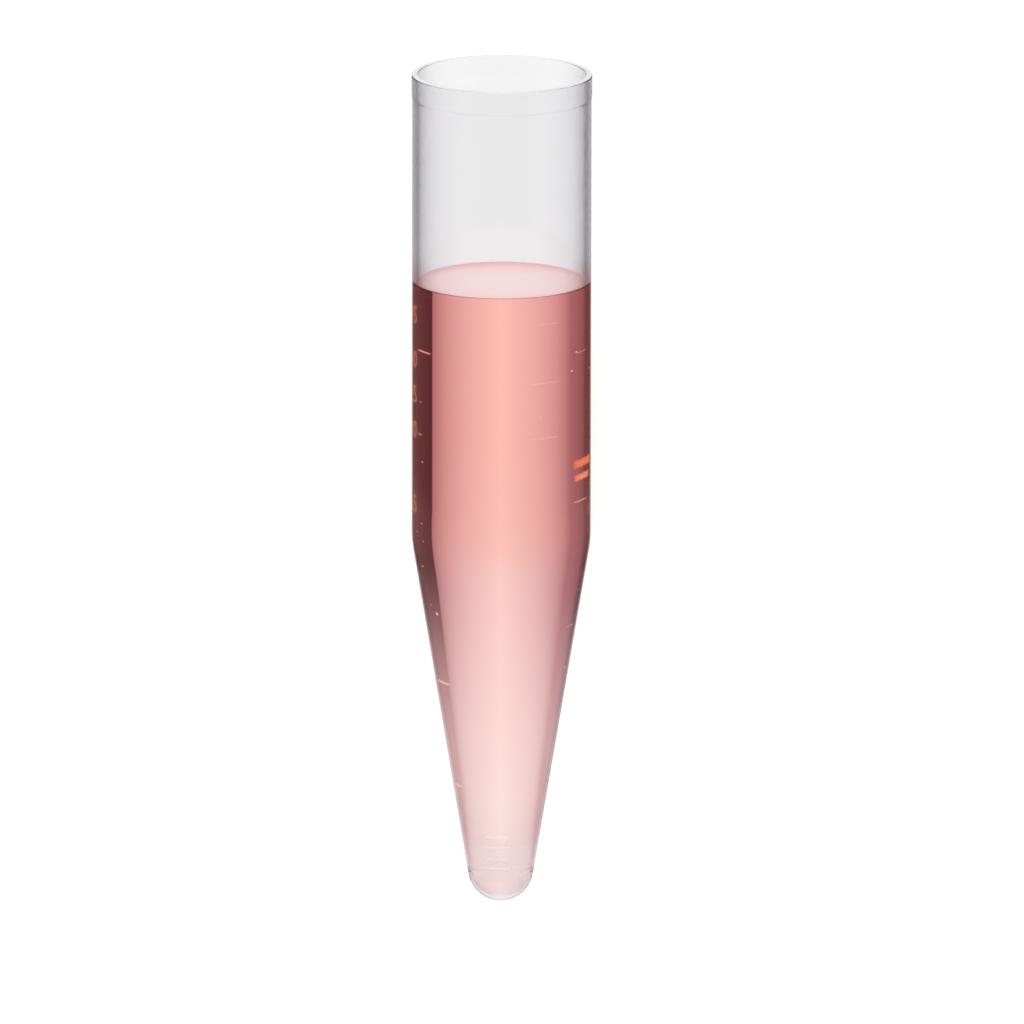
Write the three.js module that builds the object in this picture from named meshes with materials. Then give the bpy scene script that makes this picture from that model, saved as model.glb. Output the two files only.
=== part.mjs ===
// A 50 ml conical laboratory tube, moulded in clear polystyrene in one piece, with a portion of set pink culture
// medium in it. It can't stand on its round tip, so it lies on its side. Sizes are in millimetres and +Z is up.
// The tube's axis runs along Y, the open rim faces +Y, and the surface that it lies on is z = 0.
import * as THREE from "three";

// The tube's outside
const LENGTH = 132.5; // closed tip to open rim
const BARREL_DIAMETER = 28;
const BARREL_LENGTH = 74.3; // from the rim down to the cone
const SHOULDER_BLEND = 22; // radius at which the barrel turns into the cone
const TIP_RADIUS = 5.1; // the round closed end
const NECK_LENGTH = 3.5; // the band of thicker wall below the rim
const NECK_STEP = 0.1; // how far that band stands out from the barrel
const NECK_RAMP = 0.3; // length of the slope between the two

// The tube's inside
const WALL = 0.9; // along the barrel
const TIP_WALL = 1.3; // beside the round tip, where the cone has grown thicker
const TIP_FLOOR = 1.6; // under the lowest point of the bore
const BORE_BLEND = 4; // radius at which the bore turns into its cone
const RIM_ROUND = 0.15; // rounding on the rim's two edges

// The medium
const FREE_DEPTH = 33; // from the rim down to the medium's flat surface
const MEDIUM_CLEARANCE = 0.3; // between the medium and the bore

// Steps along the round stretches, and flat sides around the axis. SIDES is a multiple of 4, so that the tube has
// a flat side below, above, left and right.
const TIP_STEPS = 8;
const BLEND_STEPS = 4;
const ROUND_STEPS = 3;
const SIDES = 48;

const QUARTER = Math.PI / 2;

/** Points on a circle. Angles run from the outward direction, 0, to the rim's direction, a quarter turn. */
function arc(centre, radius, from, to, steps) {
  return Array.from({ length: steps + 1 }, (_, step) => {
    const angle = from + ((to - from) * step) / steps;
    return new THREE.Vector2(
      Math.max(centre.x + radius * Math.cos(angle), 0),
      centre.y + radius * Math.sin(angle),
    );
  });
}

/** The cone's half-angle: its side runs from the shoulder's corner and just touches the round tip. */
function coneAngle({ radius, shoulder, tipRadius, tipHeight }) {
  const corner = new THREE.Vector2(radius, shoulder - tipHeight);
  return Math.acos(tipRadius / corner.length()) - corner.angle();
}

/** One face of the wall, from the axis up to the barrel: a round tip, a cone and a blended shoulder. */
function wallFace(face, inset = 0) {
  const slope = coneAngle(face);
  const tip = new THREE.Vector2(0, face.tipHeight);
  const blend = new THREE.Vector2(
    face.radius - face.blend,
    face.shoulder + face.blend * Math.tan(slope / 2),
  );
  return [
    ...arc(tip, face.tipRadius - inset, -QUARTER, -slope, TIP_STEPS),
    ...arc(blend, face.blend - inset, -slope, 0, BLEND_STEPS),
  ];
}

/** An outline's lower part, closed by a flat top that runs in to the axis. */
function filledTo(height, outline) {
  const below = outline.filter((point) => point.y < height);
  const last = below.at(-1);
  const next = outline[below.length];
  const share = (height - last.y) / (next.y - last.y);
  return [...below, last.clone().lerp(next, share), new THREE.Vector2(0, height)];
}

/** Turns an outline about Y. The flat sides, not the corners between them, lie at the outline's radius. */
function turned(outline) {
  const toCorner = 1 / Math.cos(Math.PI / SIDES);
  const corners = outline.map((point) => new THREE.Vector2(point.x * toCorner, point.y));
  return new THREE.LatheGeometry(corners, SIDES, Math.PI / SIDES);
}

const barrelRadius = BARREL_DIAMETER / 2;
const neckRadius = barrelRadius + NECK_STEP;
const boreTip = TIP_RADIUS - TIP_WALL;

const outside = {
  radius: barrelRadius,
  shoulder: LENGTH - BARREL_LENGTH,
  blend: SHOULDER_BLEND,
  tipRadius: TIP_RADIUS,
  tipHeight: TIP_RADIUS,
};
const bore = {
  radius: barrelRadius - WALL,
  shoulder: LENGTH - BARREL_LENGTH,
  blend: BORE_BLEND,
  tipRadius: boreTip,
  tipHeight: TIP_FLOOR + boreTip,
};

/** The moulded tube: up its outside, over the rim and down the bore. */
function makeTube() {
  const rimEdge = LENGTH - RIM_ROUND;
  const outerEdge = new THREE.Vector2(neckRadius - RIM_ROUND, rimEdge);
  const innerEdge = new THREE.Vector2(bore.radius + RIM_ROUND, rimEdge);
  const outline = [
    ...wallFace(outside),
    new THREE.Vector2(barrelRadius, LENGTH - NECK_LENGTH - NECK_RAMP),
    new THREE.Vector2(neckRadius, LENGTH - NECK_LENGTH),
    ...arc(outerEdge, RIM_ROUND, 0, QUARTER, ROUND_STEPS),
    ...arc(innerEdge, RIM_ROUND, QUARTER, 2 * QUARTER, ROUND_STEPS),
    ...wallFace(bore).reverse(),
  ];
  const plastic = new THREE.MeshStandardMaterial({
    color: 0xe6e7ea,
    roughness: 0.12,
    metalness: 0,
    transparent: true,
    opacity: 0.35,
  });
  const tube = new THREE.Mesh(turned(outline), plastic);
  tube.name = "tube";
  return tube;
}

/** The set medium: the bore's own shape, a clearance smaller all round, up to its flat surface. */
function makeMedium() {
  const outline = wallFace(bore, MEDIUM_CLEARANCE);
  const top = new THREE.Vector2(bore.radius - MEDIUM_CLEARANCE, LENGTH);
  const pink = new THREE.MeshStandardMaterial({ color: 0xf0a79b, roughness: 0.1, metalness: 0 });
  const medium = new THREE.Mesh(turned(filledTo(LENGTH - FREE_DEPTH, [...outline, top])), pink);
  medium.name = "pink_medium";
  return medium;
}

const model = new THREE.Group();
model.add(makeTube(), makeMedium());
model.position.set(0, -LENGTH / 2, neckRadius);

export default model;
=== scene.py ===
# %% [markdown]
# # A 50 ml conical tube, lying on its side
# A clear plastic laboratory tube holds a pink culture medium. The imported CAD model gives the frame: where
# the tube lies, how long and how wide it is, and how far it is filled. This notebook gives it its looks:
# the fine shape of the wall, the moulded scale, the medium with its meniscus, and materials that bend and
# tint light.

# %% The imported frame
import math

import bpy
import numpy as np
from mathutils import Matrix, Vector


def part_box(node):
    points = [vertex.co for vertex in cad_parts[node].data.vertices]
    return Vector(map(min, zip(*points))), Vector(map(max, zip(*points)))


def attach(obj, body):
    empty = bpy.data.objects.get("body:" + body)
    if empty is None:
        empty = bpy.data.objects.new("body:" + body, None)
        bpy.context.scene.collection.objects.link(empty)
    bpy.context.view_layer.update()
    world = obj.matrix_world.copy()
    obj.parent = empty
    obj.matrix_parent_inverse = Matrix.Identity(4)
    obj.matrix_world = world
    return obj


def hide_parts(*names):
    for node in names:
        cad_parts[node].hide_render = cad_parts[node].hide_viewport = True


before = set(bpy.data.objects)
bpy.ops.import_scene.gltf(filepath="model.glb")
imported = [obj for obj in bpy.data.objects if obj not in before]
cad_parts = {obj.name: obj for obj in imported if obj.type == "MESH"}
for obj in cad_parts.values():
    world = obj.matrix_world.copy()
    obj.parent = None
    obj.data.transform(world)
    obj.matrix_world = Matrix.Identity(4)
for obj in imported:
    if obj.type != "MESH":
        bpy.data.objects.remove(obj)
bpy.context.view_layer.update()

MM = 0.001

# %% [markdown]
# ## Driving sizes
# The tube's length, its widest radius, the height of its axis and the medium's level come from the CAD
# boxes. The CAD solids have flat sides whose middles lie at the real radius, so half a box is exactly the
# round radius. What the boxes can't say, such as the wall's thickness, is named here with the values of
# the part's source. Three are softer than there: the neck's ramp, the edge of the rim and the bend of the
# bore at the shoulder, which only show in how the wall bends light.

# %% Sizes
tube_low, tube_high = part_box("tube")
medium_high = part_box("pink_medium")[1]

tip_y = tube_low.y  # the closed end; "along" is measured from here towards the rim
length = tube_high.y - tip_y
neck_radius = (tube_high.x - tube_low.x) / 2
axis_z = (tube_high.z + tube_low.z) / 2
level = medium_high.y - tip_y

NECK_STEP = 0.1 * MM
NECK_LENGTH = 3.5 * MM
NECK_RAMP = 0.45 * MM
BARREL_LENGTH = 74.3 * MM
SHOULDER_BLEND = 22 * MM
TIP_RADIUS = 5.1 * MM
WALL = 0.9 * MM
TIP_WALL = 1.3 * MM
TIP_FLOOR = 1.6 * MM
BORE_BLEND = 16 * MM  # the shoulder's blend in the bore
RIM_ROUND = 0.28 * MM

barrel_radius = neck_radius - NECK_STEP
bore_radius = barrel_radius - WALL
bore_tip = TIP_RADIUS - TIP_WALL
print(f"length {length / MM:.1f}, barrel {2 * barrel_radius / MM:.1f} across, filled to {level / MM:.1f} mm")

# %% [markdown]
# ## Camera
# Such a tube is usually shown upright, seen from 13 degrees above its middle. It looks the same when it
# lies down and the camera looks at it from above, leaning 13 degrees towards the open end. A very long
# lens, far away, keeps the barrel's sides parallel.

# %% Camera
VIEW_LEAN = math.radians(13.07)
VIEW_ROLL = math.radians(0.1)
LENS = 1000
SENSOR = 36
CLIP_NEAR, CLIP_FAR = 100, 10
FRAME_WIDTH = 160.5 * MM  # what the view is across, at the tube
AIM_RIGHT = 1.68 * MM  # the middle of the view, beside the tube's axis
AIM_UP = -6.95 * MM  # and below the middle of the tube

towards = Vector((0, math.sin(VIEW_LEAN), math.cos(VIEW_LEAN)))
view_up = Vector((0, math.cos(VIEW_LEAN), -math.sin(VIEW_LEAN)))
aim = Vector((AIM_RIGHT, 0, 0)) + view_up * AIM_UP

camera = bpy.data.objects.new("camera", bpy.data.cameras.new("camera"))
bpy.context.scene.collection.objects.link(camera)
bpy.context.scene.camera = camera
camera.data.lens = LENS
camera.data.sensor_width = SENSOR
distance = FRAME_WIDTH * LENS / SENSOR
camera.location = aim + towards * distance
camera.rotation_euler = (-VIEW_LEAN, 0, 0)
camera.rotation_euler.rotate_axis("Z", VIEW_ROLL)
camera.data.clip_start = distance / CLIP_NEAR
camera.data.clip_end = distance * CLIP_FAR
print(f"camera {distance:.2f} m away")

# %% [markdown]
# ## Outlines
# Every part of the tube is round about one axis, so each is an outline turned about it. An outline could
# be a list of measured points, but the real mould was cut with arcs and straight lines. So an outline
# here is a chain of arcs, each given by its centre, radius and two angles, and the straight stretches are
# what lies between two arcs. Each point also knows its normal, which is the arc's own direction: smooth
# shading then stays exact on the long straight stretches, where averaged normals would bend the light
# wrongly.

# %% An arc
QUARTER = math.pi / 2


def arc(centre, radius, start, end, steps, hollow=False):
    """Rows of (radius, along, normal outwards, normal along). 0 points outwards, a quarter to the rim."""
    angles = np.linspace(start, end, steps + 1)
    out, along = np.cos(angles), np.sin(angles)
    facing = -1 if hollow else 1
    return np.column_stack(
        [np.maximum(centre[0] + radius * out, 0), centre[1] + radius * along, facing * out, facing * along]
    )


# %% [markdown]
# The tip, cone, shoulder and barrel are two arcs: the round tip, and the shoulder's blend. The cone is
# the straight line that touches both, so its slope is worked out, not chosen.

# %% A face of the wall
def cone_angle(radius, shoulder, tip_radius, tip_height):
    """The half-angle of a cone that runs from the shoulder's corner and just touches the round tip."""
    rise = shoulder - tip_height
    return math.acos(tip_radius / math.hypot(radius, rise)) - math.atan2(rise, radius)


def wall_face(radius, blend, tip_radius, tip_height, offset=0.0, hollow=False, tip_steps=28, blend_steps=24):
    """One face of the wall, from the axis up to the barrel. `offset` moves it outwards."""
    shoulder = length - BARREL_LENGTH
    slope = cone_angle(radius, shoulder, tip_radius, tip_height)
    blend_centre = (radius - blend, shoulder + blend * math.tan(slope / 2))
    return np.vstack(
        [
            arc((0, tip_height), tip_radius + offset, -QUARTER, -slope, tip_steps, hollow),
            arc(blend_centre, blend + offset, -slope, 0, blend_steps, hollow),
        ]
    )


lean = cone_angle(barrel_radius, length - BARREL_LENGTH, TIP_RADIUS, TIP_RADIUS)
print(f"the cone's sides lean {math.degrees(lean):.1f} degrees")

# %% [markdown]
# ## Turning an outline
# Blender's Screw modifier or Spin tool would turn an outline too, but both leave doubled points on the
# axis and guess the normals. Here each outline point becomes a ring of vertices, a point on the axis
# becomes one vertex, and the outline's own normals are set on the mesh.

# %% Rings of vertices
SIDES = 256
ON_AXIS = 1e-9  # a smaller radius than this counts as a point on the axis


def ring_faces(rings, sides):
    """Faces between each ring and the next; a ring of one vertex is a pole."""
    faces = []
    for lower, upper in zip(rings, rings[1:]):
        for i in range(sides):
            j = (i + 1) % sides
            if len(lower) == 1:
                faces.append((lower[0], upper[j], upper[i]))
            elif len(upper) == 1:
                faces.append((lower[i], lower[j], upper[0]))
            else:
                faces.append((lower[i], lower[j], upper[j], upper[i]))
    return faces


# %% [markdown]
# The material needs to know which surface a point belongs to, such as the outside or the bore, or how
# near the wall a point of the medium's surface is. Each outline row carries such a number, and the mesh
# keeps it as an attribute.

# %% Turned solids
def turned(name, outline, mark, marked, sides=SIDES):
    """A closed solid turned about the tube's axis, from an outline that starts and ends on the axis.
    `marked` gives each row a number, which the mesh keeps as the attribute called `mark`."""
    angles = np.arange(sides) * 2 * math.pi / sides
    rings, points, normals = [], [], []
    for radius, along, normal_out, normal_along in outline:
        on_axis = radius < ON_AXIS
        turns = angles[:1] if on_axis else angles
        rings.append(np.arange(len(turns)) + sum(len(ring) for ring in rings))
        side, top = np.sin(turns), np.cos(turns)
        level_ring = np.full(len(turns), tip_y + along)
        points.append(np.column_stack([radius * side, level_ring, axis_z + radius * top]))
        if on_axis:
            normals.append([[0, math.copysign(1, normal_along), 0]])
        else:
            leaning = np.full(len(turns), normal_along)
            normals.append(np.column_stack([normal_out * side, leaning, normal_out * top]))
    mesh = bpy.data.meshes.new(name)
    mesh.from_pydata(np.vstack(points).tolist(), [], ring_faces(rings, sides))
    mesh.shade_smooth()
    mesh.normals_split_custom_set_from_vertices(np.vstack(normals).tolist())
    values = np.concatenate([np.full(len(ring), value) for ring, value in zip(rings, marked)])
    mesh.attributes.new(mark, "FLOAT", "POINT").data.foreach_set("value", values.astype(np.float32))
    piece = bpy.data.objects.new(name, mesh)
    bpy.context.scene.collection.objects.link(piece)
    print(f"{name}: {len(mesh.polygons)} faces")
    return piece


# %% [markdown]
# ## The tube's wall
# Polystyrene is stiff and glassy and is moulded in one shot. The wall has a slightly thicker neck below
# the flat rim, a straight barrel, a shoulder, a cone and a round tip, and its bore follows the same shape
# a wall further in. One closed outline, up the outside and down the bore, keeps the wall's thickness
# true, which a Solidify modifier on a single skin would not do at the thick tip. Between the neck and the
# barrel the radius changes by a tenth of a millimetre, in a soft step that shows as a faint line round
# the tube.

# %% The neck's step
def smooth_step(bottom, top, start_radius, end_radius, steps=10):
    """A soft S-shaped change of radius along the wall, with its normals."""
    share = np.linspace(0, 1, steps + 1)
    radius = start_radius + (end_radius - start_radius) * (1 - np.cos(math.pi * share)) / 2
    slope = (end_radius - start_radius) * math.pi / 2 * np.sin(math.pi * share) / (top - bottom)
    size = np.hypot(1, slope)
    return np.column_stack([radius, bottom + (top - bottom) * share, 1 / size, -slope / size])


# %% [markdown]
# A fine witness ring near the tip shows where the mould's tip insert ended. It could be a thin separate
# ring, but clear plastic has no inner boundary there, so it is part of the outline: a low ridge between
# two of its rows.

# %% The witness ring
RING_HEIGHT = 4.95 * MM  # above the closed end
RING_RELIEF = 0.05 * MM
RING_WIDTH = 0.45 * MM


def with_ring(face, height, relief, width, steps=12):
    """Adds a rounded ridge round the cone to a wall face, between the two rows that it lies between."""
    above = int(np.argmax(face[:, 1] > height + width / 2))
    low_row, high_row = face[above - 1], face[above]
    along = height + width / 2 * np.linspace(-1, 1, steps + 1)
    share = (along - low_row[1]) / (high_row[1] - low_row[1])
    bump = relief * (1 + np.cos(2 * math.pi * (along - height) / width)) / 2
    lean = relief * math.pi / width * np.sin(2 * math.pi * (along - height) / width)
    out, up = high_row[2], high_row[3]
    size = np.hypot(1, lean)
    radius = low_row[0] + (high_row[0] - low_row[0]) * share + bump * out
    ridge = np.column_stack([radius, along + bump * up, (out - lean * up) / size, (up + lean * out) / size])
    return np.vstack([face[:above], ridge, face[above:]])


# %% Tube
outer_face = wall_face(barrel_radius, SHOULDER_BLEND, TIP_RADIUS, TIP_RADIUS)
outer_face = with_ring(outer_face, RING_HEIGHT, RING_RELIEF, RING_WIDTH)
bore_face = wall_face(bore_radius, BORE_BLEND, bore_tip, TIP_FLOOR + bore_tip, hollow=True)
neck_start = length - NECK_LENGTH
rim_edge = length - RIM_ROUND
neck = smooth_step(neck_start - NECK_RAMP, neck_start, barrel_radius, neck_radius)
rim_outside = arc((neck_radius - RIM_ROUND, rim_edge), RIM_ROUND, 0, QUARTER, 8)
rim_inside = arc((bore_radius + RIM_ROUND, rim_edge), RIM_ROUND, QUARTER, 2 * QUARTER, 8)
outside = np.vstack([outer_face, neck, rim_outside])
inside = np.vstack([rim_inside, bore_face[::-1]])
on_outside = np.r_[np.ones(len(outside)), np.zeros(len(inside))]
tube = turned("clear_tube", np.vstack([outside, inside]), "outside", on_outside)

# %% [markdown]
# ## The medium
# The medium wets the bore: there is no air between them. If the two meshes only touched, a ray would
# cross a hair of air and be mirrored away, so the medium's mesh reaches a few hundredths of a millimetre
# into the wall. A ray then bends in the plastic, bends again as it enters the medium, and ends up in the
# right direction. Its free surface is flat, and climbs the wall in a small meniscus, whose height dies
# away as an exponential of the distance from the wall.

# %% The free surface
OVERLAP = 0.04 * MM
MENISCUS_RISE = 0.6 * MM
MENISCUS_REACH = 0.8 * MM
SURFACE_DROP = 0.45 * MM  # the CAD's level is where the medium meets the wall, and the middle lies lower
EDGE_ROUND = 0.03 * MM
SURFACE_RINGS = 48

wet_face = wall_face(bore_radius, BORE_BLEND, bore_tip, TIP_FLOOR + bore_tip, offset=OVERLAP)
wet_radius = bore_radius + OVERLAP
inwards = np.linspace(0, 1, SURFACE_RINGS + 1) ** 2
surface_radius = wet_radius - EDGE_ROUND - inwards * (wet_radius - EDGE_ROUND)
rise = MENISCUS_RISE * np.exp((surface_radius - wet_radius) / MENISCUS_REACH)
steepness = rise / MENISCUS_REACH
tilt = np.hypot(1, steepness)
flat_level = level - SURFACE_DROP
surface = np.column_stack([surface_radius, flat_level + rise, -steepness / tilt, 1 / tilt])
print(f"the medium climbs {rise[0] / MM:.2f} mm at the wall and {rise[-1] / MM:.2f} mm in the middle")

# %% [markdown]
# The attribute "free_surface" is 0 on the wall side. On the free surface it runs from a third, at the
# wall, to 1 in the middle, and by this the material shades the meniscus. A row of vertices just under the
# edge keeps the 0 from smearing up the long straight wall.

# %% Medium
AT_WALL = 0.35
FADE = 2.8 * MM  # how far from the wall the surface looks even

highest = flat_level + rise[0]
edge = arc((wet_radius - EDGE_ROUND, highest - EDGE_ROUND), EDGE_ROUND, 0, QUARTER, 4)[:-1]
brink = [[wet_radius, highest - 2 * EDGE_ROUND, 1, 0]]
from_wall = 1 - np.exp((surface_radius - wet_radius) / FADE)
free = np.r_[np.zeros(len(wet_face) + 1), np.full(len(edge), AT_WALL), AT_WALL + (1 - AT_WALL) * from_wall]
medium = turned("pink_culture_medium", np.vstack([wet_face, brink, edge, surface]), "free_surface", free)

# %% [markdown]
# ## Node helpers
# The moulded marks and the materials are node trees. Written out link by link they are hard to read, so
# one method adds any node with its settings and sockets, and a small class lets a socket take part in
# ordinary arithmetic.

# %% Sockets in arithmetic
class Value:
    """A socket that can be used in an expression. Each operator adds its Math node."""

    def __init__(self, nodes, socket):
        self.nodes, self.socket = nodes, socket

    def __add__(self, other):
        return self.nodes.maths("ADD", self, other)

    def __sub__(self, other):
        return self.nodes.maths("SUBTRACT", self, other)

    def __rsub__(self, other):
        return self.nodes.maths("SUBTRACT", other, self)

    def __mul__(self, other):
        return self.nodes.maths("MULTIPLY", self, other)

    def __truediv__(self, other):
        return self.nodes.maths("DIVIDE", self, other)

    __radd__, __rmul__ = __add__, __mul__


# %% Any other node
class Nodes:
    """Adds nodes to one tree."""

    def __init__(self, tree):
        self.tree = tree

    def add(self, kind, settings=None, sockets=None):
        """A node of this type. Settings are set first, then each socket gets its value or link."""
        node = self.tree.nodes.new(kind)
        for name, setting in (settings or {}).items():
            setattr(node, name, setting)
        for key, item in (sockets or {}).items():
            if isinstance(item, Value):
                self.tree.links.new(item.socket, node.inputs[key])
            elif isinstance(item, bpy.types.NodeSocket):
                self.tree.links.new(item, node.inputs[key])
            else:
                node.inputs[key].default_value = item
        return node

    def maths(self, operation, *items):
        node = self.add("ShaderNodeMath", {"operation": operation}, dict(enumerate(items)))
        return Value(self, node.outputs[0])

    def value(self, node, output=0):
        return Value(self, node.outputs[output])


# %% [markdown]
# ## The moulded scale
# The scale is cut into the mould, so its lines stand a few hundredths of a millimetre proud of the wall,
# and follow it round. They could be modelled one by one, but they all follow one rule, so a Geometry
# Nodes tree makes them: it puts a bar at each place, bends the bar round the axis, and presses it onto
# the wall by shooting a ray at the wall from outside. On the cone the bars then lean with the cone by
# themselves. Each place carries its own numbers as attributes: the turn round the axis, the arc it spans,
# its height on the tube and its width.

# %% Reading the places' numbers
def named(nodes, name, kind="FLOAT"):
    """A named attribute, in a geometry tree."""
    node = nodes.add("GeometryNodeInputNamedAttribute", {"data_type": kind}, {"Name": name})
    return node.outputs["Attribute"]


def joined(nodes, x, y, z):
    return nodes.add("ShaderNodeCombineXYZ", None, {"X": x, "Y": y, "Z": z}).outputs[0]


def moved(nodes, start, direction, distance):
    """A point that lies this far from the start."""
    scaled = nodes.add("ShaderNodeVectorMath", {"operation": "SCALE"}, {0: direction, "Scale": distance})
    added = nodes.add("ShaderNodeVectorMath", {"operation": "ADD"}, {0: start, 1: scaled.outputs[0]})
    return added.outputs[0]


# %% [markdown]
# The bar is a cube of unit size with 16 steps along it. It keeps its own coordinates as an attribute
# before it is copied to the places, because after that its points only know where they are in the whole.

# %% The bars
BAR_STEPS = 16
OUTSIDE_REACH = 30 * MM  # where the rays start, from the axis


def bars_on_places(nodes, places):
    size = {"Size": (1, 1, 1), "Vertices X": BAR_STEPS + 1, "Vertices Y": 2, "Vertices Z": 2}
    bar = nodes.add("GeometryNodeMeshCube", None, size)
    own_place = nodes.add("GeometryNodeInputPosition").outputs[0]
    kept = nodes.add(
        "GeometryNodeStoreNamedAttribute",
        {"data_type": "FLOAT_VECTOR", "domain": "POINT"},
        {"Geometry": bar.outputs["Mesh"], "Name": "in_bar", "Value": own_place},
    )
    laid = nodes.add("GeometryNodeInstanceOnPoints", None, {"Points": places, "Instance": kept.outputs[0]})
    return nodes.add("GeometryNodeRealizeInstances", None, {"Geometry": laid.outputs[0]}).outputs[0]


def on_the_wall(nodes, wall, relief):
    """Where a bar's point goes: round the axis by its turn, and pressed onto the wall."""
    in_bar = nodes.add("ShaderNodeSeparateXYZ", None, {0: named(nodes, "in_bar", "FLOAT_VECTOR")})
    turn, arc_span = Value(nodes, named(nodes, "turn")), Value(nodes, named(nodes, "arc"))
    height, width = Value(nodes, named(nodes, "height")), Value(nodes, named(nodes, "width"))
    angle = turn + nodes.value(in_bar, "X") * arc_span
    outwards = joined(nodes, nodes.maths("SINE", angle), 0.0, nodes.maths("COSINE", angle))
    inwards = joined(nodes, nodes.maths("SINE", angle) * -1, 0.0, nodes.maths("COSINE", angle) * -1)
    on_axis = joined(nodes, 0.0, height + nodes.value(in_bar, "Y") * width, axis_z)
    seen = nodes.add("GeometryNodeObjectInfo", {"transform_space": "ORIGINAL"}, {"Object": wall})
    ray = nodes.add(
        "GeometryNodeRaycast",
        None,
        {
            "Target Geometry": seen.outputs["Geometry"],
            "Source Position": moved(nodes, on_axis, outwards, OUTSIDE_REACH),
            "Ray Direction": inwards,
            "Ray Length": OUTSIDE_REACH,
        },
    )
    proud = nodes.value(in_bar, "Z") * relief
    return moved(nodes, ray.outputs["Hit Position"], ray.outputs["Hit Normal"], proud)


# %% The scale's tree
def scale_tree():
    tree = bpy.data.node_groups.new("moulded_scale", "GeometryNodeTree")
    sockets = {}
    inputs = {"Places": "Geometry", "Wall": "Object", "Relief": "Float", "Finish": "Material"}
    for name, kind in inputs.items():
        sockets[name] = tree.interface.new_socket(name, in_out="INPUT", socket_type="NodeSocket" + kind)
    tree.interface.new_socket("Marks", in_out="OUTPUT", socket_type="NodeSocketGeometry")
    nodes = Nodes(tree)
    given = nodes.add("NodeGroupInput").outputs
    bars = bars_on_places(nodes, given["Places"])
    place = on_the_wall(nodes, given["Wall"], given["Relief"])
    pressed = nodes.add("GeometryNodeSetPosition", None, {"Geometry": bars, "Position": place})
    real = nodes.add("GeometryNodeRealizeInstances", None, {"Geometry": pressed.outputs[0]})
    dressed = {"Geometry": real.outputs[0], "Material": given["Finish"]}
    finished = nodes.add("GeometryNodeSetMaterial", None, dressed)
    nodes.add("NodeGroupOutput", None, {"Marks": finished.outputs[0]})
    print(f"moulded_scale: {len(tree.nodes)} nodes")
    return tree, sockets


# %% [markdown]
# Each row of the table is one line or dot of the scale: its turn from the top of the lying tube, in
# degrees, the arc it spans, its height above the closed end and its width, in millimetres, and then how
# strongly it scatters light, from 0 to 1, and how amber it looks, which is what light does that reaches
# it through the medium. The long lines on the right are about 5 ml apart. Ticks stand in line on both
# sides, and four short lines near the tip are about a tenth of a millilitre apart. The dots stand for
# small bubbles and specks in the wall.

# %% Places of the marks
LINES = [
    (31.5, 19, 95.2, 0.22, 0.1, 0.3),
    (30, 26, 85.8, 0.22, 0.14, 0.3),
    (30, 24, 77.0, 0.22, 0.12, 0.3),
]
LEFT_TICKS = [
    (-60, 17, 89.6, 0.34, 0.6, 0.75),
    (-65, 6, 76.2, 0.30, 0.4, 0.8),
    (-61, 22, 36.2, 0.50, 0.75, 0.5),
    (-64, 24, 19.3, 0.45, 0.75, 0.5),
]
RIGHT_TICKS = [
    (63.5, 14, 89.6, 0.16, 0.4, 0.7),
    (63, 18, 65.8, 0.26, 0.5, 0.7),
    (65, 14, 45.4, 0.22, 0.5, 0.8),
]
# two painted amber glints, orange light caught from the medium, each carried on a wide mark
AMBER_GLINTS = [
    (67, 28, 71.8, 1.5, 0.9, 1.0),
    (65, 22, 69.6, 1.2, 0.95, 0.9),
]
TIP_LINES = [(-4, 44, height, 0.22, 0.45, 0.1) for height in (6.3, 7.8, 9.8, 11.5)]
# the dots: turn in degrees, then height and size in millimetres
DOTS = [
    (56.3, 89.8, 0.34),
    (51.4, 87.0, 0.36),
    (76.4, 86.3, 0.30),
    (-63.8, 81.4, 0.22),
    (-61.5, 71.9, 0.26),
    (-62.3, 62.0, 0.24),
    (-69.3, 60.4, 0.22),
    (-60.2, 59.2, 0.24),
    (-65.2, 55.0, 0.28),
    (-54.5, 47.7, 0.55),
    (-61.0, 48.9, 0.22),
    (68.0, 38.4, 0.36),
    (70.0, 51.0, 0.24),
    (26.0, 80.5, 0.16),
]
DOT_STRENGTH, DOT_AMBER = 0.7, 0.45


def dot(turn, height, size):
    """A dot is a bar as wide as it is long."""
    radius = np.interp(height * MM, outer_face[:, 1], outer_face[:, 0])
    return turn, math.degrees(size * MM / radius), height, size, DOT_STRENGTH, DOT_AMBER


places = LINES + LEFT_TICKS + RIGHT_TICKS + AMBER_GLINTS + TIP_LINES + [dot(*row) for row in DOTS]
print(f"{len(places)} marks and dots")

# %% [markdown]
# The places become the vertices of a small mesh on the axis. The modifier turns it into the marks, and
# the result is kept as a plain mesh, without its modifier.

# %% Scale
MARK_RELIEF = 0.1 * MM


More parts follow.
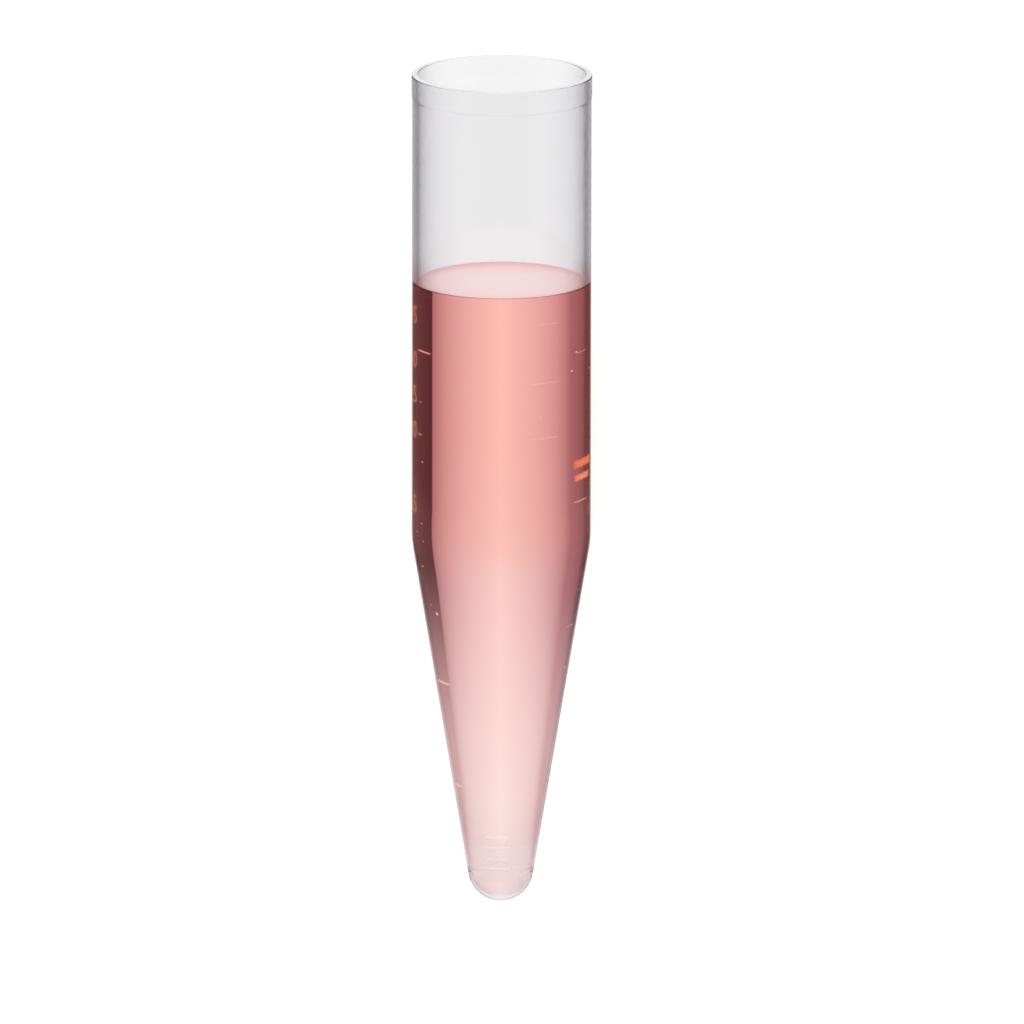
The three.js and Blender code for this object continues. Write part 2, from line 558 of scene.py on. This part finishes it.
def scale_marks(rows, finish):
    turn, arc_span, height, width, strength, amber = np.array(rows, dtype=np.float32).T
    at = np.column_stack([0 * height, tip_y + height * MM, 0 * height + axis_z])
    mesh = bpy.data.meshes.new("places")
    mesh.from_pydata(at.tolist(), [], [])
    numbers = {
        "turn": np.radians(turn),
        "arc": np.radians(arc_span),
        "height": tip_y + height * MM,
        "width": width * MM,
        "strength": strength,
        "amber": amber,
    }
    for name, values in numbers.items():
        mesh.attributes.new(name, "FLOAT", "POINT").data.foreach_set("value", values.astype(np.float32))
    start = bpy.data.objects.new("places", mesh)
    bpy.context.scene.collection.objects.link(start)
    tree, sockets = scale_tree()
    modifier = start.modifiers.new("moulded_scale", "NODES")
    modifier.node_group = tree
    for name, item in {"Wall": tube, "Relief": MARK_RELIEF, "Finish": finish}.items():
        modifier[sockets[name].identifier] = item
    graph = bpy.context.evaluated_depsgraph_get()
    made = bpy.data.meshes.new_from_object(start.evaluated_get(graph), depsgraph=graph)
    bpy.data.objects.remove(start)
    made.materials.clear()
    made.materials.append(finish)
    made.polygons.foreach_set("material_index", [0] * len(made.polygons))
    piece = bpy.data.objects.new("moulded_scale", made)
    bpy.context.scene.collection.objects.link(piece)
    print(f"moulded_scale: {len(made.polygons)} faces")
    return piece


marks_finish = bpy.data.materials.new("moulded_marks")
scale = scale_marks(places, marks_finish)

# %% [markdown]
# ## Numerals
# Small numerals stand beside the scale, far round on the left, where they are seen almost edge on. A text
# object gives their outlines. It is made a mesh first, and then bent round the tube in Python: a letter's
# sideways coordinate becomes a turn, its upward one a height on the wall, and its thickness the relief.

# %% Numerals
# each with its height above the closed end, in millimetres
NUMERALS = [("35", 94.7), ("30", 87.6), ("25", 82.0), ("20", 76.4), ("15", 64.5), ("5", 41.8)]
NUMERAL_TURN = -78  # degrees
NUMERAL_SIZE = 4 * MM
NUMERAL_STRENGTH, NUMERAL_AMBER = 0.17, 0.75


def flat_text(text, size):
    """A text as a thin closed mesh, in its own plane, 1 thick."""
    letters = bpy.data.curves.new(text, "FONT")
    letters.body, letters.size, letters.align_x, letters.align_y = text, size, "CENTER", "CENTER"
    letters.extrude, letters.resolution_u = 0.5, 3
    holder = bpy.data.objects.new(text, letters)
    bpy.context.scene.collection.objects.link(holder)
    graph = bpy.context.evaluated_depsgraph_get()
    mesh = bpy.data.meshes.new_from_object(holder.evaluated_get(graph), depsgraph=graph)
    bpy.data.objects.remove(holder)
    return mesh


def bent_text(text, turn, height):
    """The text's points on the wall, and its faces."""
    mesh = flat_text(text, NUMERAL_SIZE)
    flat = np.array([v.co for v in mesh.vertices])
    faces = [list(p.vertices) for p in mesh.polygons]
    along = height + flat[:, 1]
    radius = np.interp(along, outer_face[:, 1], outer_face[:, 0])
    angle = math.radians(turn) + flat[:, 0] / radius
    radius = radius + flat[:, 2] * MARK_RELIEF
    return np.column_stack([radius * np.sin(angle), tip_y + along, axis_z + radius * np.cos(angle)]), faces


points, faces = [], []
for text, height in NUMERALS:
    placed, its_faces = bent_text(text, NUMERAL_TURN, height * MM)
    faces += [[i + len(points) for i in face] for face in its_faces]
    points += placed.tolist()
numeral_mesh = bpy.data.meshes.new("scale_numerals")
numeral_mesh.from_pydata(points, [], faces)
for name, number in {"strength": NUMERAL_STRENGTH, "amber": NUMERAL_AMBER}.items():
    everywhere = np.full(len(points), number, dtype=np.float32)
    numeral_mesh.attributes.new(name, "FLOAT", "POINT").data.foreach_set("value", everywhere)
numerals = bpy.data.objects.new("scale_numerals", numeral_mesh)
bpy.context.scene.collection.objects.link(numerals)
numeral_mesh.materials.append(marks_finish)
print(f"scale_numerals: {len(faces)} faces")

# %% [markdown]
# ## Helpers for materials
# The materials here are clear ones whose tint changes with the slant of a ray and with the height on the
# tube. That takes the same few nodes again and again: a ramp of colours, a soft step, a blend of two
# colours.

# %% Ramps, steps and blends
def material(name):
    made = bpy.data.materials.get(name) or bpy.data.materials.new(name)
    made.use_nodes = True
    made.node_tree.nodes.clear()
    return made, Nodes(made.node_tree)


def ramp(nodes, value, stops):
    """Colours by a value from 0 to 1."""
    node = nodes.add("ShaderNodeValToRGB", None, {"Fac": value})
    elements = node.color_ramp.elements
    while len(elements) < len(stops):
        elements.new(0.5)
    for element, (place, colour) in zip(elements, stops):
        element.position = place
        element.color = (*colour, 1)
    return node.outputs["Color"]


def step_up(nodes, value, start, end):
    """0 below start, 1 above end, soft between."""
    node = nodes.add(
        "ShaderNodeMapRange",
        {"interpolation_type": "SMOOTHSTEP"},
        {"Value": value, "From Min": start, "From Max": end},
    )
    return nodes.value(node)


def blend(nodes, share, first, second):
    """From the first colour to the second."""
    return nodes.add("ShaderNodeMix", {"data_type": "RGBA"}, {0: share, 6: first, 7: second}).outputs[2]


def power(nodes, colour, exponent):
    return nodes.add("ShaderNodeGamma", None, {"Color": colour, "Gamma": exponent}).outputs[0]


# %% [markdown]
# What the tints go by: where a point is on the tube, which side of a surface a ray meets, and how much it
# slants.

# %% Where and how a ray meets the surface
def attribute(nodes, name):
    return nodes.value(nodes.add("ShaderNodeAttribute", {"attribute_name": name}), "Fac")


def place_on_object(nodes):
    """Sideways, up, and the share of the length from the closed end."""
    split = nodes.add("ShaderNodeSeparateXYZ", None, {0: nodes.add("ShaderNodeTexCoord").outputs["Object"]})
    return nodes.value(split, "X"), nodes.value(split, "Z"), (nodes.value(split, "Y") - tip_y) / length


def facing_away(nodes):
    """0 where a ray meets the surface head on, 1 where it grazes it."""
    return nodes.value(nodes.add("ShaderNodeLayerWeight", None, {"Blend": 0.5}), "Facing")


def front_only(nodes):
    return 1 - nodes.value(nodes.add("ShaderNodeNewGeometry"), "Backfacing")


def by_height(points):
    """Stops given in millimetres above the closed end, as shares of the length."""
    return [(height * MM / length, item) for height, item in points]


# %% [markdown]
# A path tracer finds lamps only by luck through glass, so the floor under a glass object turns black. The
# usual cure is to let shadow rays, and rays that have left a matt surface, pass the glass as if it were a
# plain window.

# %% A window for soft light
def mix_shaders(nodes, share, first, second):
    return nodes.add("ShaderNodeMixShader", None, {0: share, 1: first, 2: second}).outputs[0]


def lets_lamps_through(nodes, shader):
    path = nodes.add("ShaderNodeLightPath")
    soft = nodes.maths("MAXIMUM", nodes.value(path, "Is Shadow Ray"), nodes.value(path, "Is Diffuse Ray"))
    window = nodes.add("ShaderNodeBsdfTransparent")
    return mix_shaders(nodes, soft, shader, window.outputs[0])


# %% [markdown]
# ## Clear polystyrene
# The empty wall is colourless in the middle and greys towards its sides, where a ray meets it at a slant.
# A slanting ray runs longer in the plastic, but most of this grey is painted shade, for the dark room that
# the sides show. It is darkest where the bore starts to mirror such a ray away, and paler again at the very
# edge, which is a painted reflection. A Layer Weight node is the usual way to give glass such an edge, the
# same all round. A glass shader tints by the square root of its colour, so the tint is squared first. Below
# the medium's level the wall is wet on one side, which all but hides its edge, so the tint stops there. The
# bore has an even grey of its own, painted shade a little darker towards its sides, and just above the
# level the wall also carries painted pink light from the medium, dark at its edges.

# %% Painted edge shade of the empty wall
CLEAR = (1.0, 1.0, 1.0, 1.0)
PLASTIC_IOR = 1.59
SQUARED = 2.0
LEVEL_SOFTNESS = 0.001  # as a share of the length
# painted shade: the bore's grey, darker towards its sides
BORE_SHADE = [
    (0.1, (0.855, 0.85, 0.856)),
    (0.35, (0.815, 0.81, 0.817)),
    (0.5, (0.765, 0.76, 0.767)),
    (0.59, (0.72, 0.712, 0.722)),
    (0.73, (0.645, 0.637, 0.65)),
    (1.0, (0.6, 0.59, 0.61)),
]
# painted shade towards the sides, darkest at 0.66, and a painted reflection at the very edge
EDGE_SHADE = [
    (0.0, (1.0, 0.993, 0.997)),
    (0.1, (0.975, 0.968, 0.974)),
    (0.2, (0.927, 0.918, 0.927)),
    (0.29, (0.9, 0.892, 0.905)),
    (0.4, (0.866, 0.857, 0.872)),
    (0.48, (0.81, 0.8, 0.82)),
    (0.56, (0.74, 0.73, 0.755)),
    (0.66, (0.33, 0.325, 0.35)),
    (0.72, (0.4, 0.39, 0.41)),
    (0.8, (0.64, 0.61, 0.63)),
    (1.0, (0.8, 0.76, 0.78)),
]
# painted pink light from the medium, fading out this far above its level
PINK_LIGHT_REACH = 6 * MM  # how far above the level the wall still carries some of the medium's colour
EDGE_PINK_LIGHT_AND_SHADE = [
    (0.0, (1.0, 0.985, 0.985)),
    (0.29, (0.87, 0.83, 0.84)),
    (0.48, (0.74, 0.64, 0.65)),
    (0.56, (0.66, 0.47, 0.48)),
    (0.66, (0.31, 0.2, 0.22)),
    (0.72, (0.4, 0.25, 0.27)),
    (0.8, (0.62, 0.4, 0.42)),
    (1.0, (0.8, 0.58, 0.6)),
]


def wall_painted_shade(nodes, along):
    """Painted shade at the edges above the medium's level, with painted pink light just above it, clear below
    it, and only where a ray enters.
    """
    full = level / length
    slanting = facing_away(nodes)
    pink_light_share = 1 - step_up(nodes, along, full, full + PINK_LIGHT_REACH / length)
    edge_shade_colour = blend(nodes, pink_light_share, ramp(nodes, slanting, EDGE_SHADE), ramp(nodes, slanting, EDGE_PINK_LIGHT_AND_SHADE))
    grey = blend(nodes, attribute(nodes, "outside"), ramp(nodes, slanting, BORE_SHADE), edge_shade_colour)
    dry = step_up(nodes, along, full - LEVEL_SOFTNESS, full + LEVEL_SOFTNESS)
    return power(nodes, blend(nodes, dry * front_only(nodes), CLEAR, grey), SQUARED)


# %% [markdown]
# Where the medium touches the wall, plastic and water bend light almost alike, and their boundary mirrors
# less than a hundredth of it. The two surfaces lie a hair apart here and would each mirror like a surface
# in air, which puts a grey veil on the dark sides. So on the touching faces a Refraction shader, which
# only bends light and mirrors none, stands for the glass. In the tip's own round some slanting rays can't
# get through at all, and such a shader turns black there, so it starts a little above it.

# %% Touching faces
TIP_SEAM = 7 * MM, 12 * MM  # heights between which the Refraction shader takes over


def above_tip(nodes, along):
    return step_up(nodes, along, TIP_SEAM[0] / length, TIP_SEAM[1] / length)


def only_bends(nodes, ior, colour=CLEAR):
    glassy = {"Color": colour, "Roughness": 0.0, "IOR": ior}
    return nodes.add("ShaderNodeBsdfRefraction", None, glassy).outputs[0]


# %% [markdown]
# The rim's flat face is slightly frosted, as a mould's parting face leaves it, while its rounded edges
# stay clear. So the last tenth of a millimetre is mostly a matt pale grey.

# %% Frosted rim
RIM_FROST = 0.85
RIM_GREY = (0.84, 0.83, 0.845, 1)
FROST_STARTS, FROST_FULL = 0.16 * MM, 0.04 * MM  # below the rim's face


def frosted_rim(nodes, glass, along):
    at_rim = step_up(nodes, along, 1 - FROST_STARTS / length, 1 - FROST_FULL / length)
    pale = nodes.add("ShaderNodeBsdfDiffuse", None, {"Color": RIM_GREY}).outputs[0]
    return mix_shaders(nodes, at_rim * RIM_FROST, glass, pale)


# %% Plastic
plastic, nodes = material("clear_polystyrene")
along = place_on_object(nodes)[2]
glass = nodes.add(
    "ShaderNodeBsdfPrincipled",
    None,
    {"Base Color": wall_painted_shade(nodes, along), "Roughness": 0.0, "IOR": PLASTIC_IOR, "Transmission Weight": 1.0},
).outputs[0]
below_level = 1 - step_up(nodes, along, level / length - LEVEL_SOFTNESS, level / length)
in_wet_bore = (1 - attribute(nodes, "outside")) * below_level * above_tip(nodes, along)
wall = mix_shaders(nodes, in_wet_bore, glass, only_bends(nodes, PLASTIC_IOR))
shown = frosted_rim(nodes, wall, along)
nodes.add("ShaderNodeOutputMaterial", None, {"Surface": lets_lamps_through(nodes, shown)})
tube.data.materials.append(plastic)
print(f"clear_polystyrene: {len(nodes.tree.nodes)} nodes")

# %% [markdown]
# ## The pink medium
# Culture medium is water with a pink dye. Volume absorption gives most of the colour: deep where the tube
# is wide, pale in the tip. The surface also carries a light tint by height: a little deeper pink in the
# barrel, and greyer in the tip, which is painted shade. Nothing here knows where the camera is: the dark
# sides of a full tube are what its lens shows of the dark cards below it, which come with the floor.

# %% Depth of colour
WATER_IOR = 1.33
# a tint by height; the grey at the tip is painted shade
DEPTH = [
    (0, (0.88, 0.84, 0.86)),
    (10, (0.93, 0.88, 0.88)),
    (18, (0.97, 0.95, 0.915)),
    (40, (0.975, 0.965, 0.96)),
    (55, (0.985, 0.965, 0.955)),
    (60, (0.975, 0.895, 0.845)),
    (75, (0.97, 0.85, 0.805)),
    (100, (0.972, 0.84, 0.795)),
]


def on_wall_side(nodes):
    """1 on the medium's wall side, 0 on its free surface, by the attribute that the outline gave it."""
    return 1 - step_up(nodes, attribute(nodes, "free_surface"), 0.05, 0.3)


def medium_tint(nodes):
    """The tint by height, on the wall's side only and only where a ray enters."""
    along = place_on_object(nodes)[2]
    entering = on_wall_side(nodes) * front_only(nodes)
    return power(nodes, blend(nodes, entering, CLEAR, ramp(nodes, along, by_height(DEPTH))), SQUARED)


# %% [markdown]
# The Refraction shader takes nearly the same tint. Its colour stays one colour for each shader, so that the
# export can read it, and going up the medium one shader takes over from the next by a Mix Shader's
# factor.

# %% Tint of the touching face
# the first tint's grey is the tip's painted shade
WET_TINTS = [
    (8, 10, (0.93, 0.88, 0.88, 1)),
    (10, 18, (0.97, 0.95, 0.915, 1)),
    (18, 40, (0.975, 0.965, 0.96, 1)),
    (55, 60, (0.975, 0.895, 0.845, 1)),
    (60, 75, (0.971, 0.846, 0.8, 1)),
]


def bends_and_tints(nodes):
    """Each tint takes over between two heights, in mm, and only where a ray enters."""
    along, entering = place_on_object(nodes)[2], front_only(nodes)
    bent = only_bends(nodes, WATER_IOR)
    for low, high, tint in WET_TINTS:
        ends = {"Value": along, "From Min": low * MM / length, "From Max": high * MM / length}
        above = nodes.value(nodes.add("ShaderNodeMapRange", None, ends))
        bent = mix_shaders(nodes, above * entering, bent, only_bends(nodes, WATER_IOR, tint))
    return bent


# %% [markdown]
# The free surface is seen at a low angle from above. It mirrors the pale wall behind it, and the rest of
# its brightness is light scattered back from the medium below, which is even and pale pink. So it is a
# gloss by Fresnel's law over a matt soft pink that stands in for that light, with painted shade darker in
# the meniscus. Seen from below, through the medium, it is the plain boundary of water and air.

# %% Free surface
# a matt pink for the light from the medium, with painted shade in the meniscus near the wall
SURFACE_PINK_AND_MENISCUS_SHADE = [
    (AT_WALL, (0.7, 0.45, 0.46)),
    (0.5, (0.83, 0.53, 0.54)),
    (0.7, (0.97, 0.65, 0.66)),
    (1.0, (0.98, 0.75, 0.755)),
]
SURFACE_STARTS = 0.2, 0.34  # the attribute's values between which the free surface begins


def free_surface(nodes, liquid):
    kind = attribute(nodes, "free_surface")
    colour = ramp(nodes, kind, SURFACE_PINK_AND_MENISCUS_SHADE)
    matt = {"Base Color": colour, "Specular IOR Level": 0.0, "Roughness": 1.0}
    soft = nodes.add("ShaderNodeBsdfPrincipled", None, matt).outputs[0]
    mirror = nodes.add("ShaderNodeBsdfGlossy", None, {"Roughness": 0.0}).outputs[0]
    gloss = nodes.value(nodes.add("ShaderNodeFresnel", None, {"IOR": WATER_IOR}))
    from_above = step_up(nodes, kind, *SURFACE_STARTS) * front_only(nodes)
    return mix_shaders(nodes, from_above, liquid, mix_shaders(nodes, gloss, soft, mirror))


# %% Pink
PINK = (0.98, 0.35, 0.27, 1)
DYE = 30.0

pink, nodes = material("pink_medium")
liquid = nodes.add(
    "ShaderNodeBsdfPrincipled",
    None,
    {"Base Color": medium_tint(nodes), "Roughness": 0.0, "IOR": WATER_IOR, "Transmission Weight": 1.0},
).outputs[0]
at_wall = on_wall_side(nodes) * above_tip(nodes, place_on_object(nodes)[2])
shown = free_surface(nodes, mix_shaders(nodes, at_wall, liquid, bends_and_tints(nodes)))
absorbed = nodes.add("ShaderNodeVolumeAbsorption", None, {"Color": PINK, "Density": DYE})
ends = {"Surface": lets_lamps_through(nodes, shown), "Volume": absorbed.outputs[0]}
nodes.add("ShaderNodeOutputMaterial", None, ends)
medium.data.materials.append(pink)
print(f"pink_medium: {len(nodes.tree.nodes)} nodes")

# %% [markdown]
# ## Finish of the marks
# The moulded lines are the same clear plastic, but their faces are rough from the tool, so they scatter
# light. A part-transparent matt surface looks like that at this size. Its pale and amber colours are painted
# glints: light that the raised lines catch, amber where it comes through the medium. Their strength and
# amber come from the marks' own attributes. A fine noise breaks the marks up a little, as worn ones are,
# and each bar of the scale fades out towards its own edges.

# %% Marks
# painted glints: pale, and amber where light comes through the medium
PALE_MARK, AMBER_MARK = (1.0, 0.80, 0.74, 1), (0.92, 0.2, 0.07, 1)
WEAR_SCALE = 900.0  # spots per metre
WEAR_DEPTH = 0.5

marks_finish, nodes = material("moulded_marks")
on_object = nodes.add("ShaderNodeTexCoord").outputs["Object"]
noise = nodes.add("ShaderNodeTexNoise", None, {"Vector": on_object, "Scale": WEAR_SCALE})
uneven = nodes.value(noise) * WEAR_DEPTH + (1 - WEAR_DEPTH / 2)
bar_place = nodes.add("ShaderNodeAttribute", {"attribute_name": "in_bar"}).outputs["Vector"]
in_bar = nodes.add("ShaderNodeSeparateXYZ", None, {0: bar_place})
across, lengthways = nodes.value(in_bar, "Y") * 2, nodes.value(in_bar, "X") * 2
faded = (1 - across * across) * (1 - lengthways * lengthways * lengthways * lengthways)
matt = nodes.add(
    "ShaderNodeBsdfPrincipled",
    None,
    {
        "Base Color": blend(nodes, attribute(nodes, "amber"), PALE_MARK, AMBER_MARK),
        "Roughness": 0.6,
        "Alpha": attribute(nodes, "strength") * uneven * faded,
    },
)
nodes.add("ShaderNodeOutputMaterial", None, {"Surface": matt.outputs[0]})
print("marks finished on", [o.name for o in (scale, numerals)])

# %% [markdown]
# ## Floor and light
# The floor is plain white paper. A clear object mirrors what is above it, and a white ceiling all round
# would wash out its sides, so the paper and the sky look dark to rays that come straight from a mirror-
# like reflection, and bright to all others. A studio does the same with black cards outside the view.
# Only the paper next to the tube stays fairly bright in it, which draws a thin pale line along the
# outline.

# %% What mirrored rays see
def to_mirrored_rays(nodes):
    """1 for rays that come straight from a mirror-like reflection."""
    path = nodes.add("ShaderNodeLightPath")
    return nodes.value(path, "Is Glossy Ray") * nodes.value(path, "Is Reflection Ray")


# %% Floor
FLOOR = 6.0
PAPER = (0.97, 0.97, 0.97, 1)
PAPER_MIRRORED = (0.02, 0.02, 0.02, 1)
PAPER_BESIDE = (0.5, 0.5, 0.5, 1)
BESIDE = 16 * MM, 21.5 * MM  # distances from the axis between which the bright paper ends

floor_mesh = bpy.data.meshes.new("floor")
corners = [(-FLOOR, -FLOOR, 0), (FLOOR, -FLOOR, 0), (FLOOR, FLOOR, 0), (-FLOOR, FLOOR, 0)]
floor_mesh.from_pydata(corners, [], [(0, 1, 2, 3)])
floor = bpy.data.objects.new("floor", floor_mesh)
bpy.context.scene.collection.objects.link(floor)
paper, nodes = material("white_paper")
beside = 1 - step_up(nodes, nodes.maths("ABSOLUTE", place_on_object(nodes)[0]), *BESIDE)
paper_mirrored = blend(nodes, beside, PAPER_MIRRORED, PAPER_BESIDE)
paper_seen = blend(nodes, to_mirrored_rays(nodes), PAPER, paper_mirrored)
matt = nodes.add("ShaderNodeBsdfDiffuse", None, {"Color": paper_seen})
nodes.add("ShaderNodeOutputMaterial", None, {"Surface": matt.outputs[0]})
floor_mesh.materials.append(paper)
floor.visible_transmission = False

# %% [markdown]
# A full tube is a strong lens: its middle shows what lies behind it, and its sides show what lies far to
# the left and right. In a studio that is the dark room beyond the lit backdrop, or dark cards put there
# on purpose, which give clear things their dark sides. Here those dark sides are painted shade: a glowing
# card, painted dark rosy, lies on each side of a bright gap, a little below the floor. The floor hides the
# cards from the camera and is itself left out of what the glass shows. The gap widens where the cone
# narrows. The card at +X shows in the tube's left side, because the lens turns things round. Cards are
# surroundings: from another side the tube shows other parts of them, and an exported model shows none.

# %% Backing cards, painted shade
CARD_DEPTH = 36 * MM
VIEW_SHIFT = 11.6 * MM  # how far a ray from above drifts towards the closed end before it meets the cards
REACH = 90 * MM  # from the middle of the gap to a card's outer side
GAP_EDGE = 15.9 * MM
GAP_WIDENING = 0.9  # as a share of how much narrower the tube is than its barrel
SIDE_SHIFT = 13.5 * MM  # the drift of a ray that enters near the tube's side
# rays that land further out drift more, so from here outwards the cards' upper end falls away
SLANT_FROM, TOP_SLANT = 10 * MM, 0.15
CARD_LIGHT = 1.12  # as bright as the backdrop where it is white
CARD_COLUMNS, CARD_ROWS = 80, 59

# %% [markdown]
# The cards are a mesh of rows along the tube, and each row is widened by as much as the tube is narrower
# there. Two attributes tell the material how far out a point is and which card it is on.

# %% The cards' shape
def card_mesh():
    across = np.linspace(-1, 1, CARD_COLUMNS + 1)
    out = np.abs(across) * REACH
    low_y = tip_y - 2 * VIEW_SHIFT
    high_y = tip_y + level - VIEW_SHIFT - TOP_SLANT * np.maximum(out - SLANT_FROM, 0)
    along = low_y + np.linspace(0, 1, CARD_ROWS + 1)[:, None] * (high_y - low_y)
    radius = np.interp(along + VIEW_SHIFT - tip_y, outer_face[:, 1], outer_face[:, 0])
    near = np.clip(out / GAP_EDGE, 0, 1)
    x = across * REACH + np.sign(across) * near * GAP_WIDENING * (barrel_radius - radius)
    places = np.stack([x, along, np.full_like(x, -CARD_DEPTH)], -1).reshape(-1, 3)
    row = CARD_COLUMNS + 1
    first = (np.arange(CARD_ROWS)[:, None] * row + np.arange(CARD_COLUMNS)).ravel()
    mesh = bpy.data.meshes.new("backing_cards")
    faces = np.stack([first, first + 1, first + row + 1, first + row], -1)
    mesh.from_pydata(places.tolist(), [], faces.tolist())
    for name, values in {"out": np.abs(across), "left_card": (across > 0).astype(float)}.items():
        mesh.attributes.new(name, "FLOAT", "POINT").data.foreach_set("value", np.tile(values, CARD_ROWS + 1))
    return mesh


cards = bpy.data.objects.new("backing_cards", card_mesh())
bpy.context.scene.collection.objects.link(cards)
print(f"backing cards: {len(cards.data.polygons)} faces, {CARD_DEPTH / MM:.0f} mm below the floor")

# %% [markdown]
# Both cards have one plain rosy tint and darken softly from the bright gap outwards, as painted shade. The
# left one then turns dark in one sharp step and the right one goes on fading. Both lie at one depth, so
# the sharp step and the slow fade are painted shade too. Towards the tip both give way to a pale list,
# which leaves the narrow end of the cone light. Each list gives the brightness, from 0 to 1, by the
# distance in millimetres from the middle of the gap, as it is below the barrel.

# %% The cards' tone
# painted shade: the brightness of the cards, by distance from the gap
PALE_END = [(0, 1.0), (12, 0.82), (17, 0.66), (49, 0.7)]
LEFT_CARD = [(0, 1.0), (8.7, 0.7), (15.7, 0.43), (16.1, 0.075), (50, 0.1)]
RIGHT_CARD = [(0, 1.0), (8.7, 0.7), (16, 0.4), (31, 0.25), (36, 0.12)]
CARD_TINT = (1, 0.2, 0.36)  # what the darkest part keeps of red, green and blue
CARD_FADE = 31 * MM, 68 * MM  # heights on the tube between which the dark cards take over from the pale end


def card_shade(nodes, stops):
    """The stops' brightness by distance, tinted where they are dark."""
    colours = []
    for distance, grey in stops:
        colours.append((distance * MM / REACH, [grey * (tint + (1 - tint) * grey) for tint in CARD_TINT]))
    return ramp(nodes, attribute(nodes, "out"), colours)


board, nodes = material("painted_shade_card")
along = place_on_object(nodes)[2]
is_left = attribute(nodes, "left_card")
dark = blend(nodes, is_left, card_shade(nodes, RIGHT_CARD), card_shade(nodes, LEFT_CARD))
above = step_up(nodes, along, *[(height - SIDE_SHIFT) / length for height in CARD_FADE])
shade = blend(nodes, above, card_shade(nodes, PALE_END), dark)
tip_end = step_up(nodes, along, -2 * VIEW_SHIFT / length, 0.0)
shone = {"Color": blend(nodes, tip_end, CLEAR, shade), "Strength": CARD_LIGHT}
lit = nodes.add("ShaderNodeEmission", None, shone)
nodes.add("ShaderNodeOutputMaterial", None, {"Surface": lit.outputs[0]})
cards.data.materials.append(board)
cards.visible_camera = cards.visible_diffuse = cards.visible_glossy = cards.visible_shadow = False
print(f"painted_shade_card: {len(nodes.tree.nodes)} nodes")

# %% [markdown]
# Most light comes evenly from the sky. A wide soft sun from above, a little to the left, adds a hint of
# direction. It is hidden from the glass, where its disc would make hard white stripes. What the glass
# itself shows of the room is a bright backdrop all round and a darker ceiling: the back wall of a full tube
# mirrors whatever is overhead, and a bright ceiling would lay a milky veil over the colour.

# %% Light
SUN_STRENGTH, SUN_SIZE = 0.65, math.radians(50)
SUN_TURN = (math.radians(-10), math.radians(-8), 0)
CEILING_STARTS = 0.1  # how steeply a ray must rise to meet the ceiling
CEILING_SHADE = 0.65  # what it takes away straight above
MIRRORED_SHADE = 0.98  # what the sky loses in mirrored rays
BACKDROP = 1.12  # a little more than the paper, to make up for what the glass reflects away

sun = bpy.data.objects.new("soft_overhead", bpy.data.lights.new("soft_overhead", "SUN"))
bpy.context.scene.collection.objects.link(sun)
sun.data.energy, sun.data.angle = SUN_STRENGTH, SUN_SIZE
sun.rotation_euler = SUN_TURN
sun.visible_glossy = sun.visible_transmission = sun.visible_camera = False

world = bpy.data.worlds.new("studio")
bpy.context.scene.world = world
world.use_nodes = True
world.node_tree.nodes.clear()
nodes = Nodes(world.node_tree)
towards_sky = nodes.add("ShaderNodeTexCoord").outputs["Generated"]
direction = nodes.add("ShaderNodeSeparateXYZ", None, {0: towards_sky})
overhead = step_up(nodes, nodes.value(direction, "Z"), CEILING_STARTS, 1.0)
through_glass = nodes.value(nodes.add("ShaderNodeLightPath"), "Is Transmission Ray")
seen_through_glass = BACKDROP * (1 - overhead * CEILING_SHADE)
strength = 1 - to_mirrored_rays(nodes) * MIRRORED_SHADE + through_glass * (seen_through_glass - 1)
background = nodes.add("ShaderNodeBackground", None, {"Color": (1, 1, 1, 1), "Strength": strength})
nodes.add("ShaderNodeOutputWorld", None, {"Surface": background.outputs[0]})

# %% [markdown]
# A ray crosses up to eight surfaces here, and is mirrored between some of them, so the number of bounces
# is raised: with too few, the glass has black patches. The plain view transform keeps white paper white.

# %% Render settings that the glass needs
BOUNCES = 24

bpy.context.scene.view_settings.view_transform = "Standard"
bpy.context.scene.cycles.max_bounces = BOUNCES
bpy.context.scene.cycles.transmission_bounces = BOUNCES
bpy.context.scene.cycles.transparent_max_bounces = BOUNCES
print("bounces:", BOUNCES)

# %% [markdown]
# ## Joining the frame
# Nothing on the tube moves, so every piece rides on its one body. The tube and the medium stand for their
# CAD nodes, which are hidden. The scale and its numerals are moulded in the tube's plastic; the table
# below names that plastic for them, but only the bodies are set here.

# %% Ride and replace
PLASTIC = "clear_polystyrene"
slots = {tube: PLASTIC, medium: "pink_medium", scale: PLASTIC, numerals: PLASTIC}
for piece, slot in slots.items():
    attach(piece, "root")
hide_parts("tube")
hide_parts("pink_medium")
